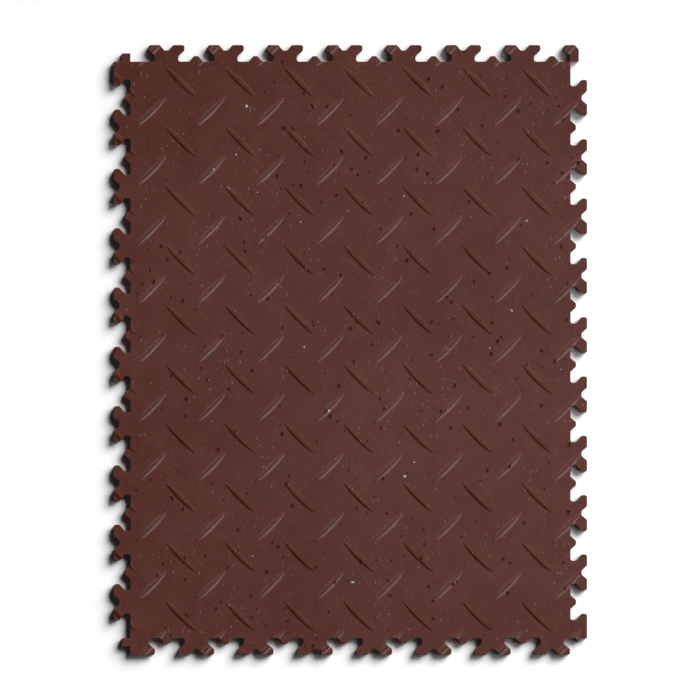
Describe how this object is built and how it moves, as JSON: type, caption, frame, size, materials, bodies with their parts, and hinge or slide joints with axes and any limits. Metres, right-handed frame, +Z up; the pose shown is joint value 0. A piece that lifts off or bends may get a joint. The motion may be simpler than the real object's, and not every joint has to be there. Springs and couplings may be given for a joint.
{
  "type": "interlocking pvc floor tile",
  "caption": "Rectangular flexible PVC floor tile with dovetail tabs and sockets on every edge and a chequer tread pattern on top; lies loose and locks to its neighbours.",
  "frame": {"origin": "centre of the tile's outer box, on the floor under its flat underside", "axes": "+X across the tile's shorter side, +Y along its longer side, +Z up out of the treads"},
  "size_m": [0.371, 0.478, 0.007],
  "materials": {
    "recycled_pvc": "matt brown-red recycled PVC with fine dark and pale specks, small pits and light scuffs"
  },
  "bodies": {
    "root": {"floor_tile": "recycled_pvc"}
  },
  "joints": []
}
